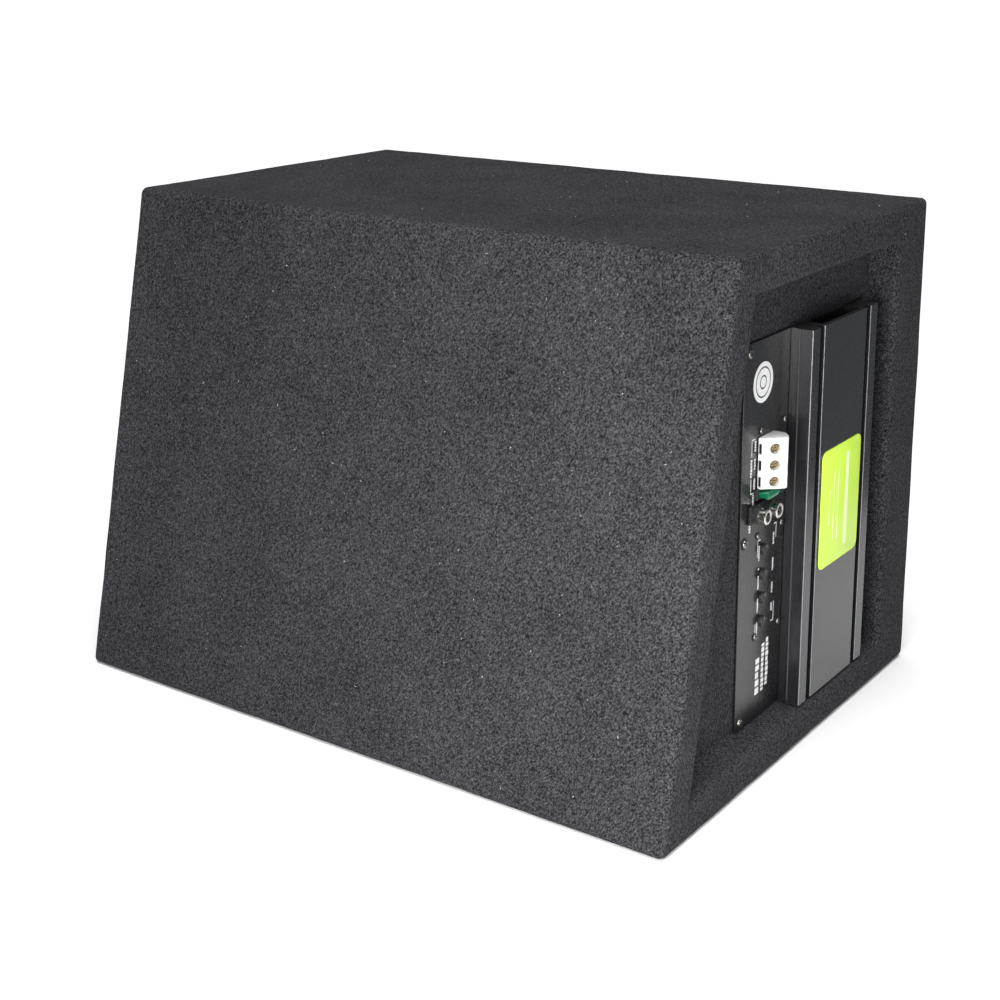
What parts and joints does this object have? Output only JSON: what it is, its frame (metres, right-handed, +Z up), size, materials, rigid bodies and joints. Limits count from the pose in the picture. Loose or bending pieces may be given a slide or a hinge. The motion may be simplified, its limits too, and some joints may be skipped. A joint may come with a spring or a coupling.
{
  "type": "powered car subwoofer",
  "caption": "Carpeted wedge-shaped bass box with a round driver in one face and a built-in plate amplifier recessed in one end.",
  "frame": {"origin": "on the floor, under the middle of the whole object's bounding box", "axes": "+Z up; +X along the box, from the amplifier end to the plain end; -Y out of the driver's face; +Y towards the sloped back"},
  "size_m": [0.5, 0.369, 0.35],
  "materials": {
    "carpet": "charcoal non-woven felt carpet with light flecks",
    "fibreboard": "raw fibreboard",
    "wadding": "white polyester wadding",
    "amplifier_black": "satin black",
    "heatsink_black": "black anodised",
    "label_green": "lime-green film",
    "zinc_steel": "zinc plated",
    "screw_steel": "bright plated",
    "circuit": "green lacquer",
    "copper": "enamelled copper",
    "capacitor": "dark blue sleeve",
    "knob_black": "fine moulded black",
    "plastic_black": "moulded black",
    "clear_plastic": "clear to milky, glossy",
    "brass": "brass",
    "fuse_green": "translucent green, plated blades",
    "jack_nickel": "nickel plated",
    "basket_black": "black powder coat",
    "rubber": "black rubber",
    "paper": "black pressed pulp",
    "former": "amber film",
    "spider_cloth": "resin-stiffened cloth",
    "ferrite": "dark grey ferrite",
    "lead_red": "red insulation",
    "lead_black": "black insulation"
  },
  "bodies": {
    "box": {"carpet_bottom": "carpet", "carpet_wrap": "carpet", "carpet_plain_end": "carpet", "carpet_amplifier_end": "carpet", "carpet_recess_walls": "carpet", "carpet_recess_back": "carpet", "driver_baffle": "fibreboard", "sloped_back_panel": "fibreboard", "bottom_panel": "fibreboard", "top_panel": "fibreboard", "plain_end_panel": "fibreboard", "recess_rim_board": "fibreboard", "amplifier_board": "fibreboard", "acoustic_wadding": "wadding", "amplifier_plate": "amplifier_black", "heatsink": "heatsink_black", "heatsink_label": "label_green", "amplifier_chassis": "zinc_steel", "magnet_top_plate": "zinc_steel", "magnet_back_plate": "zinc_steel", "level_potentiometer": "zinc_steel", "low_pass_potentiometer": "zinc_steel", "bass_boost_potentiometer": "zinc_steel", "phase_potentiometer": "zinc_steel", "plate_screw_front_low": "screw_steel", "plate_screw_front_middle": "screw_steel", "plate_screw_front_high": "screw_steel", "plate_screw_back_low": "screw_steel", "plate_screw_back_middle": "screw_steel", "plate_screw_back_high": "screw_steel", "circuit_board": "circuit", "toroidal_transformer": "copper", "capacitor_1": "capacitor", "capacitor_2": "capacitor", "fuse_holder": "plastic_black", "jack_housing": "plastic_black", "driver_terminal_strip": "plastic_black", "terminal_block": "clear_plastic", "power_lamp": "clear_plastic", "signal_jack_left": "jack_nickel", "signal_jack_right": "jack_nickel", "driver_basket": "basket_black", "driver_gasket": "rubber", "driver_surround": "rubber", "driver_spider": "spider_cloth", "driver_magnet": "ferrite", "positive_lead": "lead_red", "negative_lead": "lead_black"},
    "level_knob": {"level_knob": "knob_black"},
    "low_pass_knob": {"low_pass_knob": "knob_black"},
    "bass_boost_knob": {"bass_boost_knob": "knob_black"},
    "phase_knob": {"phase_knob": "knob_black"},
    "fuse": {"blade_fuse": "fuse_green"},
    "earth_screw": {"earth_terminal_screw": "brass"},
    "remote_screw": {"remote_terminal_screw": "brass"},
    "supply_screw": {"supply_terminal_screw": "brass"},
    "cone": {"driver_cone": "paper", "dust_cap": "paper", "voice_coil_former": "former", "voice_coil": "copper"}
  },
  "joints": [
    {"name": "level_knob_turn", "type": "hinge", "parent": "box", "child": "level_knob", "pos_m": [-0.2318, 0.033, 0.1462], "axis": [-1, 0, 0], "range_deg": [-150, 150]},
    {"name": "low_pass_knob_turn", "type": "hinge", "parent": "box", "child": "low_pass_knob", "pos_m": [-0.2318, 0.033, 0.129], "axis": [-1, 0, 0], "range_deg": [-150, 150]},
    {"name": "bass_boost_knob_turn", "type": "hinge", "parent": "box", "child": "bass_boost_knob", "pos_m": [-0.2318, 0.033, 0.1126], "axis": [-1, 0, 0], "range_deg": [-150, 150]},
    {"name": "phase_knob_turn", "type": "hinge", "parent": "box", "child": "phase_knob", "pos_m": [-0.2318, 0.033, 0.0962], "axis": [-1, 0, 0], "range_deg": [-150, 150]},
    {"name": "earth_screw_turn", "type": "hinge", "parent": "box", "child": "earth_screw", "pos_m": [-0.23927, 0.03569, 0.2166], "axis": [-0.695, 0.719, 0], "continuous": true},
    {"name": "remote_screw_turn", "type": "hinge", "parent": "box", "child": "remote_screw", "pos_m": [-0.23927, 0.03569, 0.2057], "axis": [-0.695, 0.719, 0], "continuous": true},
    {"name": "supply_screw_turn", "type": "hinge", "parent": "box", "child": "supply_screw", "pos_m": [-0.23927, 0.03569, 0.1948], "axis": [-0.695, 0.719, 0], "continuous": true},
    {"name": "fuse_pull", "type": "slide", "parent": "box", "child": "fuse", "axis": [-1, 0, 0], "range_m": [0, 0.012]},
    {"name": "cone_travel", "type": "slide", "parent": "box", "child": "cone", "axis": [0, -1, 0], "range_m": [-0.008, 0.008], "stiffness_N_per_m": 5000, "deforming": ["driver_surround", "driver_spider"]}
  ]
}
